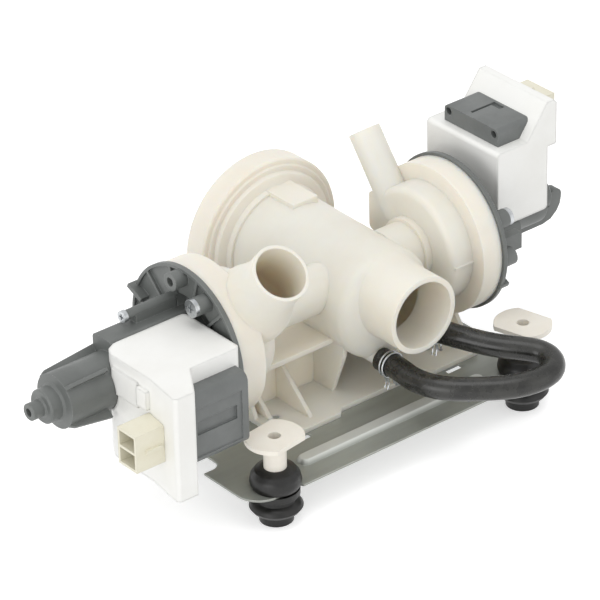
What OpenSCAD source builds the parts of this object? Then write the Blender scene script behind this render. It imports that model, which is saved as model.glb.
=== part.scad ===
// Twin pump unit of a washing machine. A drain pump and a circulation pump share one
// moulded filter housing, which stands on a steel plate with four rubber isolators.
// The origin is the centre of the four isolator screws, on the floor. X runs from the
// drain pump to the circulation pump, Y from the inlet to the filter cap, and Z is up.
// Lists of two values hold the drain pump first and the circulation pump second.

/* [Base plate and isolators] */
// Spacing of the isolator screws along X
iso_dx = 178; // [174:1:186]
// Spacing of the isolator screws along Y
iso_dy = 120; // [116:1:126]
// Height of the plate's underside above the floor
plate_z = 20; // [18:0.5:22]
// Thickness of the steel plate
plate_t = 1.2; // [1:0.1:2]
// Plate edge outside the isolator axes along X
plate_side = 22; // [20:0.5:25]
// Plate edge outside the isolator axes along Y
plate_front = 10; // [9.5:0.5:14]
// Corner radius of the plate
plate_corner = 15; // [10:1:18]
// Radius of the rubber's neck in the plate
neck_r = 8.2; // [7.5:0.1:9]
// Height of the stiffening beads on the plate
bead_h = 3; // [2:0.5:4]
// Width of the stiffening beads at the plate
bead_w = 10; // [8:0.5:12]
// Radius of the rubber bulb above the plate
bulb_r = 14.25; // [13:0.25:15]
// Height of the rubber above the plate
bulb_h = 11.8; // [10:0.2:13]
// Radius of the lower rubber disc
disc_r = 14.85; // [13:0.25:16]
// Radius of the rubber foot on the floor
foot_r = 9.5; // [8.5:0.25:11]
// Height of the bushing's top face above the floor
bush_top = 52.2; // [48:0.2:54]
// Thickness of the bushing's flange
bush_t = 2.7; // [2:0.1:3.5]
// Half length of the bushing's flange
bush_long = 16.4; // [15:0.2:17]
// Half width of the bushing's flange
bush_wide = 12.4; // [11:0.2:14]
// Radius of the bushing's collar above the rubber
collar_r = 6.3; // [5.8:0.1:7]
// Radius of the bushing's stem inside the rubber
stem_r = 5; // [4.6:0.1:5.4]
// Radius of the screw hole through the bushing
iso_hole_r = 3.5; // [3:0.1:3.8]

/* [Filter housing] */
// Height of both pump axes above the floor
axis_z = 86; // [85:0.5:88]
// Wall thickness of the moulding
wall = 3; // [2.6:0.1:3.4]
// X of the filter chamber's axis
chamber_x = 18; // [15:0.5:21]
// Height of the filter chamber's axis
chamber_z = 76; // [75:0.5:78]
// Outer radius of the chamber at the flange
chamber_r_rear = 33; // [32:0.5:35]
// Outer radius of the chamber at its domed end
chamber_r_front = 32.5; // [31.5:0.5:33]
// Y where the dome of the chamber starts
dome_y = -22; // [-22.5:0.5:-20]
// Length of the dome
dome_len = 14; // [13:0.5:14]
// Y of the flange's front face
flange_y = 74; // [70:0.5:78]
// Length of the flange along Y
flange_len = 14; // [13:0.5:18]
// Outer radius of the flange
flange_r = 48.5; // [47:0.5:51]
// Radius of the filter cap's seat in the flange
cap_seat_r = 38.3; // [37:0.1:39.5]
// X of the inlet's axis
inlet_x = 18.5; // [16:0.5:21]
// Height of the inlet's axis
inlet_z = 83; // [81:0.5:84]
// Y of the inlet's mouth
inlet_y = -57.5; // [-62:0.5:-52]
// Outer radius of the inlet at its root
inlet_r_root = 25.5; // [24.5:0.5:26.5]
// Outer radius of the inlet's plain end
inlet_r_mouth = 22.7; // [22:0.1:23.5]
// Length of the inlet's plain end
inlet_plain = 22; // [18:0.5:26]
// Radius of the inlet's bore
inlet_bore_r = 19.6; // [19:0.1:20.5]
// Outer radius of the small hose spigots
spigot_r = 4.75; // [4.2:0.05:5.2]
// Radius of the small hose spigots' bore
spigot_bore_r = 3; // [2.5:0.1:3.4]

/* [Foot and webs] */
// Thickness of the foot on the plate
foot_t = 3; // [2.5:0.1:4]
// Left end of the foot
foot_x0 = -59; // [-61:0.5:-57]
// Right end of the foot
foot_x1 = 81; // [81:0.5:83]
// Front edge of the foot
foot_y0 = -31; // [-33:0.5:-30]
// Depth of the step in the foot's front edge
foot_step = 4; // [3:0.5:5]
// Thickness of the ribs and webs
rib_t = 2.6; // [2:0.1:3.2]
// Height of the shelf between the drain pump and the chamber
shelf_z = 57.5; // [56:0.5:59]
// Front edge of the shelf
shelf_y = -14; // [-16:0.5:-12]
// X of the left screw holes in the foot
screw_x0 = -48.4; // [-50:0.2:-47]
// X of the right screw holes in the foot
screw_x1 = 61.2; // [60:0.2:63]
// Y of the front screw holes in the foot
screw_y0 = -10.7; // [-13:0.2:-8]
// Shank radius of the foot screws
foot_screw_r = 1.9; // [1.5:0.1:2.2]

/* [Pumps] */
// X of the drain pump's cover face
drain_x = -100.5; // [-104:0.5:-98]
// X of the circulation pump's cover face
circ_x = 90; // [88.5:0.5:93]
// Radius of the drain pump's cover
drain_rim_r = 46.5; // [46:0.1:48]
// Radius of the circulation pump's cover
circ_rim_r = 46.2; // [45.5:0.1:48]
// Radius of the drain pump's housing ring
drain_ring_r = 45.5; // [45:0.1:46]
// Radius of the circulation pump's housing ring
circ_ring_r = 44.5; // [44.5:0.1:45.5]
// Length of the drain pump's housing ring
drain_ring_len = 16; // [15.5:0.5:17.5]
// Length of the circulation pump's housing ring
circ_ring_len = 13.5; // [13:0.5:15]
// Radius of the drain pump's drum
drain_drum_r = 33.5; // [33:0.5:36]
// Radius of the circulation pump's drum
circ_drum_r = 35; // [33.5:0.5:36]
// Length of the drain pump's drum
drain_drum_len = 20.5; // [19.5:0.5:22]
// Length of the circulation pump's drum
circ_drum_len = 15; // [14.5:0.5:17]
// Outer radius of the drain pump's suction neck
drain_neck_r = 13.5; // [12:0.5:15]
// Outer radius of the circulation pump's suction neck
circ_neck_r = 16.5; // [15:0.5:18]
// Outer radius of the drain outlet
drain_out_r = 16.2; // [15.5:0.1:17]
// Outer radius of the circulation outlet
circ_out_r = 9.3; // [8.5:0.1:10]
// Wall of the two outlets
out_wall = 1.9; // [1.5:0.1:2.2]
// Distance of the drain outlet's mouth from the pump axis
drain_out_len = 72.4; // [68:0.2:80]
// Distance of the circulation outlet's mouth from the pump axis
circ_out_len = 70.7; // [66:0.1:78]
// Length of the outlets' plain ends
out_plain = 15; // [12:0.5:18]
// Radius of the cover's plug in the housing ring
plug_r = 34; // [33.5:0.1:34.3]
// Length of the cover's plug
plug_len = 6; // [5.5:0.1:7]

/* [Motors] */
// Length of the drain motor's rotor can
drain_can_len = 87; // [82:0.5:92]
// Length of the circulation motor's rotor can
circ_can_len = 58; // [56.5:0.5:60]
// Outer radius of the rotor cans
can_r = 15.5; // [15.3:0.1:16]
// Wall of the rotor cans
can_wall = 2.3; // [1.8:0.1:2.6]
// Radius of the step that holds the rear bearing
step_r = 9.7; // [9:0.1:11]
// Length of the step that holds the rear bearing
step_len = 9; // [8.5:0.5:11]
// Length of the drain motor's nozzle
drain_nozzle_len = 8; // [5:0.5:10]
// Length of the circulation motor's nozzle
circ_nozzle_len = 3; // [2:0.5:6]
// Radius of the nozzle
nozzle_r = 4.85; // [4.2:0.1:5.5]
// Half height of the shoulder beside the rotor can
shoulder_q = 22; // [20:0.5:22.5]
// Depth of the shoulder behind the rotor axis
shoulder_p = 14; // [12:0.5:15]
// Height of the screw bosses on the drain pump's cover
drain_boss_h = 7; // [6:0.5:8]
// Height of the screw bosses on the circulation pump's cover
circ_boss_h = 8.5; // [7:0.5:10]
// Radius of the cover's screw bosses
boss_r = 5.2; // [5:0.1:5.5]
// Distance of the cover screws from the pump axis
screw_circle_r = 38.8; // [38.6:0.1:39.2]
// Shank radius of the cover screws
cover_screw_r = 2; // [1.8:0.1:2.2]
// Head radius of the cover screws
screw_head_r = 5.1; // [4.4:0.1:5.2]
// Height of the coil block's top above the pump axis
coil_p = 50; // [49:0.5:52]
// Height of the terminal board's top above the pump axis
board_p = 70; // [67:0.5:72]
// Height of the core's yoke above the pump axis
yoke_p = 60.4; // [58:0.2:62]
// Wall of the coil covers
coil_wall = 2; // [1.6:0.1:2.4]
// Width of the core's arms
arm_w = 11; // [10:0.5:12]
// Thickness of the windings round the core's arms
winding_t = 2.3; // [1.8:0.1:2.4]

/* [Rotors] */
// Shaft radius
shaft_r = 2; // [1.8:0.1:2.4]
// Magnet radius
magnet_r = 12.4; // [12:0.1:12.6]
// Magnet length
magnet_len = 34; // [28:1:38]
// Radius of the drain impeller
drain_imp_r = 25; // [23:0.5:28]
// Radius of the circulation impeller
circ_imp_r = 27; // [24:0.5:28]
// Thickness of the impeller blades
blade_t = 2; // [1.5:0.1:2.5]

/* [Filter] */
// Outer radius of the filter basket
basket_r = 26.8; // [25:0.2:27]
// Wall of the filter basket
basket_wall = 2; // [1.6:0.1:2.4]
// Y of the filter basket's open end
basket_y = -2; // [-6:0.5:4]
// Radius of the pin that joins basket and cap
filter_pin_r = 6; // [5:0.1:7]
// Length of the cap's grip beyond the flange
grip_len = 15; // [12:0.5:18]
// Length of the cap's grip across
grip_w = 54; // [46:1:60]

/* [Hose] */
// Outer diameter of the hose
hose_d = 13.4; // [13:0.2:14]
// Wire diameter of the hose clamps
clamp_wire_d = 1.2; // [1:0.1:1.4]

/* [Hidden] */
$fn = 96;

// Colours of the mouldings, the metal and the rubber
cream = [0.925, 0.905, 0.86];
white = [0.94, 0.94, 0.925];
ivory = [0.91, 0.89, 0.83];
grey = [0.45, 0.46, 0.455];
steel = [0.51, 0.52, 0.49];
zinc = [0.75, 0.76, 0.77];
rubber = [0.2, 0.2, 0.19];
copper = [0.72, 0.45, 0.25];
carbon = [0.25, 0.25, 0.27];

// Small allowances that the fits share
cut = 1;
fit = 0.05;
play = 0.3;

iso_x = iso_dx / 2;
iso_y = iso_dy / 2;
plate_top = plate_z + plate_t;
foot_top = plate_top + foot_t;
rubber_top = plate_top + bulb_h;
seat_r = neck_r + play;

// The beads lie inside the isolator axes; the foot ends in front of the rear bead
bead_in = 8;
foot_y1 = iso_y - bead_in - bead_w / 2 - 1;
screw_y1 = foot_y1 - 8;

// Values of the drain pump and of the circulation pump
face_x = [drain_x, circ_x];
rim_r = [drain_rim_r, circ_rim_r];
rim_t = [3, 2.5];
ring_r = [drain_ring_r, circ_ring_r];
ring_len = [drain_ring_len, circ_ring_len];
drum_r = [drain_drum_r, circ_drum_r];
drum_len = [drain_drum_len, circ_drum_len];
neck_out_r = [drain_neck_r, circ_neck_r];
out_r = [drain_out_r, circ_out_r];
out_len = [drain_out_len, circ_out_len];
drum_round = [9, 4];

// Outlets: place along the motor, angle to the coil's side, shift off the radius,
// distance of the root from the pump axis, and radius of the root outside and inside
out_at = [-28.45, -22.1];
out_angle = [49.5, -37.4];
out_shift = [-1.5, -8.3];
out_root = [33, 21];
out_root_r = [22, 9.6];
out_root_in = [17.5, 7.7];

can_len = [drain_can_len, circ_can_len];
nozzle_len = [drain_nozzle_len, circ_nozzle_len];
shoulder_len = [50.6, 32];
imp_r = [drain_imp_r, circ_imp_r];
boss_h = [drain_boss_h, circ_boss_h];
fins = [[50, 140, 230, 320], [230]];

// Catch on the cover's rim: angle, and distances of its ends from the axis
tab_angle = [158, 115];
tab_r = [[36, 48.5], [42, 46.7]];

// Coil block, terminal board and core, along the motor (a), away from the axis (p)
// and across (q)
coil_p0 = 3;
coil_a = [[2, 50], [15, 52.5]];
coil_q = [[-33, 22], [-38.5, 21]];
board_a = [[35, 48, 61], [37, 52, 59]];
board_q = [[-41, 22], [-36, 21]];
board_step_p = 42;
board_face = 57.5;
yoke_a = [5.5, 21];
yoke_round = [5, 3];
yoke_q = [[-31, 12], [-30.3, 14.4]];
stack_a = [[12, 33], [22, 36]];
arm_inset = 3;
plug_a = [[56, 78], [57, 68]];
plug_p = [[42, 57.5], [50.5, 66]];
plug_q = [[-21.5, 0.5], [-13, 9.4]];
plug_floor = [8, 3];

// Pan head screws of each cover, and a boss that stays open
screw_angles = [61.5, 190, 229, 268];
head_h = 2.6;
open_boss_angle = 93.5;
open_boss_dist = 40.3;

// Screw that ties the core to the cover: its angle, its distance and its head's seat
tie_angle = [106.2, -106.2];
tie_dist = 28.7;
tie_seat = 33;
tie_r = 1.5;
tie_head_r = 3.4;

// Depths of each pump, measured from its cover face towards the chamber
seat_a = [for (m = [0, 1]) -rim_t[m]];
plug_end = [for (m = [0, 1]) seat_a[m] - plug_len];
drum_a = [for (m = [0, 1]) seat_a[m] - ring_len[m]];
drum_end = [for (m = [0, 1]) drum_a[m] - drum_len[m]];
volute_end = [for (m = [0, 1]) drum_end[m] + wall];
can_bore_r = can_r - can_wall;
bore_end = [for (m = [0, 1]) can_len[m] - can_wall];
bearing_r = 6;
bearing_len = 7;

// Filter parts along Y
cap_y = flange_y + wall;
hub_y = cap_y - play;
basket_end = cap_y - 9;

// Hose route, chosen by hand, and its two spigots
spigot_in = 14;
port_a = [9.5, -32.5, 48];
port_a_dir = [0, -1, 0];
port_b = [41, -32, 55.5];
port_b_dir = [0.36, -0.933, 0];
hose_route = [[9.5, -32.5, 48], [9.5, -39.5, 48], [9.5, -46.5, 48], [9.2, -52, 47.9],
    [8.9, -57.3, 47.7], [9.6, -64.3, 47.6], [11.6, -71, 47.5], [15, -77.1, 47.5],
    [19.4, -82.4, 47.5], [24.6, -87.1, 47.5], [30, -91.4, 47.4], [35.5, -95.7, 47.5],
    [41.2, -99.8, 47.7], [47.2, -103.2, 48], [53.6, -105.4, 48.3], [60, -106.5, 48.7],
    [65, -106.4, 49.1], [69.5, -105.1, 49.6], [73.4, -102, 50.2], [75.7, -97.6, 50.9],
    [75.9, -92.6, 51.6], [74, -88, 52.3], [70.4, -83.8, 53], [66.3, -79.3, 53.5],
    [62, -74.3, 53.8], [58, -68.9, 54.2], [54.5, -63.2, 54.6], [51.4, -57.3, 55],
    [48.6, -51.3, 55.3], [46, -45, 55.5], [43.5, -38.5, 55.5], [41, -32, 55.5]];

// Turns local Z to Y, or to X
module along_y(x, z) {
    translate([x, 0, z]) rotate([-90, 0, 0]) children();
}
module along_a() {
    rotate([0, 90, 0]) children();
}

// Motor frame: x leaves the cover face, y points to the coil, z runs across
module on_pump(m) {
    translate([face_x[m], 0, axis_z])
        rotate(m == 0 ? [0, 0, 180] : [90, 0, 0])
            children();
}

// Cylinder along the motor from a0 to a1, at an angle and distance from the axis
module rod(a0, a1, r, angle = 0, dist = 0) {
    translate([a0, dist * cos(angle), dist * sin(angle)])
        along_a() cylinder(h = a1 - a0, r = r);
}

// Box between two corners
module box(c0, c1) {
    translate(c0) cube(c1 - c0);
}

// Rectangle between two corners with round corners
module round_rect(c0, c1, r) {
    translate(c0 + [r, 0]) square([c1.x - c0.x - 2 * r, c1.y - c0.y]);
    translate(c0 + [0, r]) square([c1.x - c0.x, c1.y - c0.y - 2 * r]);
    for (x = [c0.x + r, c1.x - r], y = [c0.y + r, c1.y - r])
        translate([x, y]) circle(r);
}

// Box along the motor whose long edges are round
module round_bar(a0, a1, p, q, r) {
    translate([a0, 0, 0]) rotate([90, 0, 90]) linear_extrude(a1 - a0)
        round_rect([p[0], q[0]], [p[1], q[1]], r);
}

// Plate with four keyhole seats that are open to the front or the rear
module keyhole() {
    circle(seat_r);
    polygon([[-3, -plate_front - cut], [-6, -3], [7, -2], [12, -plate_front - cut]]);
}

module bead(y) {
    bead_x = 67 - bead_w / 2;
    top_w = bead_w * 0.65;
    translate([0, y, plate_top - 0.2]) {
        rotate([90, 0, 90]) linear_extrude(2 * bead_x, center = true)
            polygon([[-bead_w / 2, 0], [bead_w / 2, 0], [top_w / 2, bead_h],
                [-top_w / 2, bead_h]]);
        for (x = [-bead_x, bead_x])
            translate([x, 0, 0]) cylinder(h = bead_h, r1 = bead_w / 2, r2 = top_w / 2);
    }
}

module base_plate() {
    notch_in = 12;
    notch_half = 26;
    x1 = iso_x + plate_side;
    y1 = iso_y + plate_front;
    slot = [10.5, 4];
    color(steel) {
        translate([0, 0, plate_z]) linear_extrude(plate_t) difference() {
            round_rect([-x1, -y1], [x1, y1], plate_corner);
            for (sx = [-1, 1]) {
                translate([sx * x1, 0])
                    round_rect([-notch_in, -notch_half], [notch_in, notch_half], 6);
                for (sy = [-1, 1])
                    scale([-sx, -sy]) translate([-iso_x, -iso_y]) keyhole();
            }
            for (x = [screw_x0, screw_x1]) {
                for (y = [screw_y0, screw_y1])
                    translate([x, y]) circle(foot_screw_r + play);
                translate([x - slot.x / 2, foot_y0 - slot.y - play]) square(slot);
            }
        }
        for (s = [-1, 1]) bead(s * (iso_y - bead_in));
    }
}

// Screws that hold the housing's foot from below
module base_screws() {
    color(zinc) for (x = [screw_x0, screw_x1], y = [screw_y0, screw_y1])
        translate([x, y, 0]) {
            translate([0, 0, plate_z - head_h])
                cylinder(h = head_h, r = 2 * foot_screw_r, $fn = 48);
            translate([0, 0, plate_z - 0.1])
                cylinder(h = foot_top - plate_z - 0.4, r = foot_screw_r, $fn = 48);
        }
}

// Rubber isolator, gripped by the plate at its neck
module isolator(x, y) {
    mid_r = bulb_r - 1;
    low_z = plate_z / 2 - 1;
    hole_r = stem_r + fit;
    color(rubber) translate([x, y, 0]) rotate_extrude() polygon([
        [hole_r, 0], [foot_r, 0], [foot_r, low_z - 2.8], [disc_r - 1.6, low_z - 2.2],
        [disc_r, low_z], [disc_r - 1.3, low_z + 2.2], [mid_r - 2.4, low_z + 4],
        [mid_r - 2.4, low_z + 6], [mid_r, low_z + 7.5], [mid_r, plate_z],
        [neck_r, plate_z], [neck_r, plate_top], [bulb_r - 1.2, plate_top],
        [bulb_r - 0.2, plate_top + bulb_h * 0.18], [bulb_r, plate_top + bulb_h * 0.33],
        [bulb_r - 0.7, plate_top + bulb_h * 0.62], [bulb_r - 2.9, plate_top + bulb_h * 0.87],
        [collar_r + 1.6, rubber_top], [hole_r, rubber_top]]);
}

// Bushing that the appliance's screw clamps, with a flattened round flange
module bushing(x, y, turn) {
    color(ivory) translate([x, y, 0]) rotate(turn) difference() {
        union() {
            translate([0, 0, bush_top - bush_t]) linear_extrude(bush_t) intersection() {
                circle(bush_long);
                round_rect([-bush_long, -bush_wide], [bush_long, bush_wide], 4);
            }
            translate([0, 0, rubber_top])
                cylinder(h = bush_top - rubber_top - bush_t / 2, r = collar_r);
            cylinder(h = rubber_top + 1, r = stem_r);
        }
        translate([0, 0, -cut]) cylinder(h = bush_top + 2 * cut, r = iso_hole_r);
    }
}

// Profile of the chamber: radius against Y, with a domed end
function dome(r, len) = [for (i = [8:-1:0])
    [r * cos(i * 11.25), dome_y - len * sin(i * 11.25)]];

module chamber_solid() {
    along_y(chamber_x, chamber_z) rotate_extrude() polygon(concat(
        dome(chamber_r_front, dome_len), [[chamber_r_rear, flange_y], [0, flange_y]]));
}

// Flange for the filter cap, with two stepped rings on its front face
module flange_solid() {
    along_y(chamber_x, chamber_z) rotate_extrude() polygon([
        [0, flange_y - 8], [chamber_r_rear + 1.6, flange_y - 8],
        [chamber_r_rear + 2.4, flange_y - 5], [flange_r - 8, flange_y - 3.5],
        [flange_r - 7, flange_y - 1.2], [flange_r - 4.2, flange_y - 1.2],
        [flange_r - 3.4, flange_y - 0.2], [flange_r - 1, flange_y],
        [flange_r, flange_y + 1], [flange_r, flange_y + flange_len],
        [0, flange_y + flange_len]]);
}

// Raised flat pad on the chamber's top, in front of the flange
module chamber_pad() {
    pad_h = 2;
    box([chamber_x - 5.7, flange_y - 28.7, chamber_z],
        [chamber_x + 12, flange_y - 1, chamber_z + chamber_r_rear + pad_h]);
}

module inlet_solid() {
    along_y(inlet_x, inlet_z) {
        translate([0, 0, inlet_y]) cylinder(h = inlet_plain + 1, r = inlet_r_mouth);
        translate([0, 0, inlet_y + inlet_plain])
            cylinder(h = dome_y - inlet_y - inlet_plain, r1 = inlet_r_mouth, r2 = inlet_r_root);
    }
}

// Frame of a small spigot: Z leaves the chamber along the port's direction
module at_port(port, dir) {
    translate(port) rotate([0, 90, atan2(dir.y, dir.x)]) children();
}

module spigot_solid(port, dir) {
    root = 22;
    at_port(port, dir) translate([0, 0, -root])
        cylinder(h = root + spigot_in, r = spigot_r, $fn = 48);
}

module spigot_bore(port, dir) {
    at_port(port, dir) translate([0, 0, -20])
        cylinder(h = 20 + spigot_in + cut, r = spigot_bore_r, $fn = 48);
}

// Drum of a pump, round where its closed end meets the wall
module drum(a0, a1, r, round_r) {
    along_a() rotate_extrude() polygon(concat([[0, a0]],
        [for (i = [0:6]) [r - round_r * (1 - sin(i * 15)), a0 + round_r * (1 - cos(i * 15))]],
        [[r, a1], [0, a1]]));
}

// Outlet of a pump: a flare from its root in the drum, then a plain end
module outlet_frame(m) {
    translate([out_at[m], 0, 0]) rotate([out_angle[m], 0, 0])
        translate([0, out_root[m], out_shift[m]]) rotate([-90, 0, 0]) children();
}

module outlet(m, root_r, end_r, end) {
    flare = out_len[m] - out_plain - out_root[m];
    outlet_frame(m) {
        sphere(root_r);
        cylinder(h = flare, r1 = root_r, r2 = end_r);
        translate([0, 0, flare]) cylinder(h = out_plain + end, r = end_r);
    }
}

// Ring, drum, suction neck and outlet of one pump, in the motor frame
module pump_solid(m) {
    neck_len = abs(face_x[m] - chamber_x) + drum_end[m] - 20;
    rod(drum_a[m], seat_a[m], ring_r[m]);
    drum(drum_end[m], drum_a[m] + cut, drum_r[m], drum_round[m]);
    rod(drum_end[m] - neck_len, drum_end[m] + cut, neck_out_r[m]);
    rod(drum_end[m] - 4, drum_end[m] + cut, neck_out_r[m] + 2);
    outlet(m, out_root_r[m], out_r[m], 0);
    if (m == 1) {
        round_bar(drum_end[m], drum_a[m] + cut, [-2, 22], [-drum_r[m] - 0.5, -5], 3);
        box([drum_end[m] + 2, -0.6, drum_r[m] - 1], [drum_a[m] + cut, 0.6, drum_r[m] + 0.8]);
    }
}

module pump_cavity(m) {
    neck_len = abs(face_x[m] - chamber_x) + drum_end[m];
    rod(plug_end[m] - 2, seat_a[m] + cut, plug_r + play);
    drum(volute_end[m], plug_end[m], drum_r[m] - wall, drum_round[m] - wall);
    rod(drum_end[m] - neck_len, volute_end[m] + cut, neck_out_r[m] - wall);
    outlet(m, out_root_in[m], out_r[m] - out_wall, cut);
    for (angle = screw_angles)
        rod(seat_a[m] - 9, seat_a[m] + cut, cover_screw_r + fit, angle, screw_circle_r);
}

// Upright rib in a plane of constant X, given by Y and Z
module rib(x, outline) {
    translate([x - rib_t / 2, 0, 0]) rotate([90, 0, 90]) linear_extrude(rib_t)
        polygon(outline);
}

// Foot, shelf and ribs that carry the chamber and both pumps
module foot_and_webs() {
    step_x0 = foot_x0 + 40;
    step_x1 = foot_x1 - 31;
    wall_y = 5;
    under = chamber_z - chamber_r_front + 4;
    rear = foot_y1 - 2;
    translate([0, 0, plate_top]) linear_extrude(foot_t) polygon([
        [foot_x0, foot_y0], [step_x0, foot_y0], [step_x0 + foot_step, foot_y0 + foot_step],
        [step_x1 - foot_step, foot_y0 + foot_step], [step_x1, foot_y0],
        [foot_x1, foot_y0], [foot_x1, foot_y1], [foot_x0, foot_y1]]);
    box([drain_x + rim_t[0] + ring_len[0] - 1, shelf_y, shelf_z],
        [chamber_x - 22, wall_y + 22, shelf_z + wall]);
    box([foot_x0 + rib_t, wall_y, foot_top - 1],
        [chamber_x - 22, wall_y + rib_t, shelf_z + 1]);
    rib(-34, [[foot_y0 + 6, foot_top - 1], [wall_y + 1, 51.6], [wall_y + 1, foot_top - 1]]);
    rib(-52, [[-12, foot_top - 1], [wall_y + 1, 40], [wall_y + 1, foot_top - 1]]);
    rib(chamber_x - 25, [[-10, foot_top - 1], [-21, 51], [-21, 57], [rear, 60],
        [rear, foot_top - 1]]);
    rib(chamber_x + 25, [[-6, foot_top - 1], [-10, 51], [-10, 57], [rear, 60],
        [rear, foot_top - 1]]);
    rib(foot_x1 - 1.3, [[foot_y0 + 2, foot_top - 1], [-9, 49], [wall_y + 18, 49],
        [wall_y + 30, foot_top - 1]]);
    rib(foot_x0 + 1.3, [[-6, foot_top - 1], [wall_y, 45], [wall_y + 15, 45],
        [wall_y + 25, foot_top - 1]]);
    box([chamber_x - 25, 36, foot_top - 1], [chamber_x + 25, 36 + rib_t, under]);
    box([chamber_x + 25, wall_y, foot_top - 1], [foot_x1 - 1.3, wall_y + rib_t, 49]);
    box([foot_x0 + 1.3, wall_y, foot_top - 1], [-52, wall_y + rib_t, 45]);
    box([chamber_x + 22, shelf_y + 8, shelf_z],
        [circ_x + drum_a[1] + 1, wall_y + 22, shelf_z + wall]);
}

// One moulding: filter chamber, flange, inlet, both pump volutes and the foot
module pump_housing() {
    color(cream) difference() {
        union() {
            chamber_solid();
            flange_solid();
            chamber_pad();
            inlet_solid();
            foot_and_webs();
            spigot_solid(port_a, port_a_dir);
            spigot_solid(port_b, port_b_dir);
            for (m = [0, 1]) on_pump(m) pump_solid(m);
        }
        along_y(chamber_x, chamber_z) rotate_extrude() polygon(concat(
            dome(chamber_r_front - wall, dome_len - wall + 0.5),
            [[chamber_r_rear - wall, flange_y + wall], [0, flange_y + wall]]));
        along_y(chamber_x, chamber_z) translate([0, 0, cap_y - play])
            cylinder(h = flange_len, r = cap_seat_r);
        along_y(inlet_x, inlet_z) translate([0, 0, inlet_y - cut])
            cylinder(h = dome_y - inlet_y + 2 * cut, r = inlet_bore_r);
        spigot_bore(port_a, port_a_dir);
        spigot_bore(port_b, port_b_dir);
        for (m = [0, 1]) on_pump(m) pump_cavity(m);
        for (x = [screw_x0, screw_x1], y = [screw_y0, screw_y1])
            translate([x, y, plate_top - cut])
                cylinder(h = foot_t + 2 * cut, r = foot_screw_r + fit, $fn = 48);
    }
}

// Cap with a bar grip, a pin for the basket and a groove for its seal
module filter_cap() {
    cap_r = cap_seat_r - play;
    cap_end = flange_y + flange_len + 2;
    color(grey) along_y(chamber_x, chamber_z) {
        translate([0, 0, basket_end + 1]) cylinder(h = cap_y - basket_end, r = filter_pin_r);
        difference() {
            translate([0, 0, cap_y]) cylinder(h = cap_end - cap_y, r = cap_r);
            translate([0, 0, cap_y + 3]) difference() {
                cylinder(h = 2.6, r = cap_r + cut);
                translate([0, 0, -cut]) cylinder(h = 5, r = cap_r - 2.3);
            }
            translate([0, 0, cap_end - 3]) difference() {
                cylinder(h = 5, r = cap_r - 3);
                translate([-grip_w / 2, -6, -cut]) cube([grip_w, 12, 8]);
            }
        }
        translate([0, 0, cap_end - 4]) intersection() {
            translate([-grip_w / 2, -4, 0]) cube([grip_w, 8, grip_len + 2]);
            translate([0, 0, -cut]) cylinder(h = grip_len + 4, r1 = grip_w / 2 + 1,
                r2 = grip_w / 2 - 4);
        }
    }
}

module filter_seal() {
    ring_r = cap_seat_r - play - 1.1;
    color(rubber) along_y(chamber_x, chamber_z) translate([0, 0, cap_y + 4.3])
        rotate_extrude() translate([ring_r, 0]) circle(1.15, $fn = 32);
}

// Slotted basket that catches lint and coins in front of both pumps
module filter_insert() {
    slots = 10;
    rings = 3;
    len = basket_end - basket_y;
    slot_len = (len - 4 * (rings + 1)) / rings;
    slot_w = 2 * basket_r * sin(180 / slots) - 5;
    color(ivory) along_y(chamber_x, chamber_z) difference() {
        union() {
            translate([0, 0, basket_y]) cylinder(h = len, r = basket_r);
            translate([0, 0, basket_end - cut]) cylinder(h = hub_y - basket_end + cut, r = 10);
        }
        translate([0, 0, basket_y - cut])
            cylinder(h = len - 3 + cut, r = basket_r - basket_wall);
        translate([0, 0, basket_end - 5]) cylinder(h = 20, r = filter_pin_r + fit);
        for (k = [0:rings - 1], i = [0:slots - 1])
            rotate(i * 360 / slots)
                translate([0, -slot_w / 2, basket_y + 4 + k * (slot_len + 4)])
                    cube([basket_r + cut, slot_w, slot_len]);
    }
}

// Curved arm below the circulation motor's can, in the plane of the axis
module can_arm(end) {
    arm_t = 6;
    p0 = -can_r + 1.5;
    translate([0, 0, -arm_t / 2]) linear_extrude(arm_t) {
        polygon([[20, p0], [20, p0 - 6], [end + 8, p0 - 6], [end + 14, -18.6],
            [end + 18.5, -15], [end + 21, -11], [end + 22, -6], [end + 13.5, -5],
            [end + 12.5, -10], [end + 9, -13.5], [end + 4, p0 - 1], [end - 1, p0 - 1],
            [end - 1, p0]]);
        translate([end + 17.7, -5]) circle(4.3);
    }
}

// Ribs in the dish of a cover
module dish_ribs(m, a0) {
    ribs = 12;
    for (i = [0:ribs - 1]) rotate([15 + i * 360 / ribs, 0, 0])
        box([a0, can_r - 0.5, -0.8], [0, rim_r[m] - cut, 0.8]);
}

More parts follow.
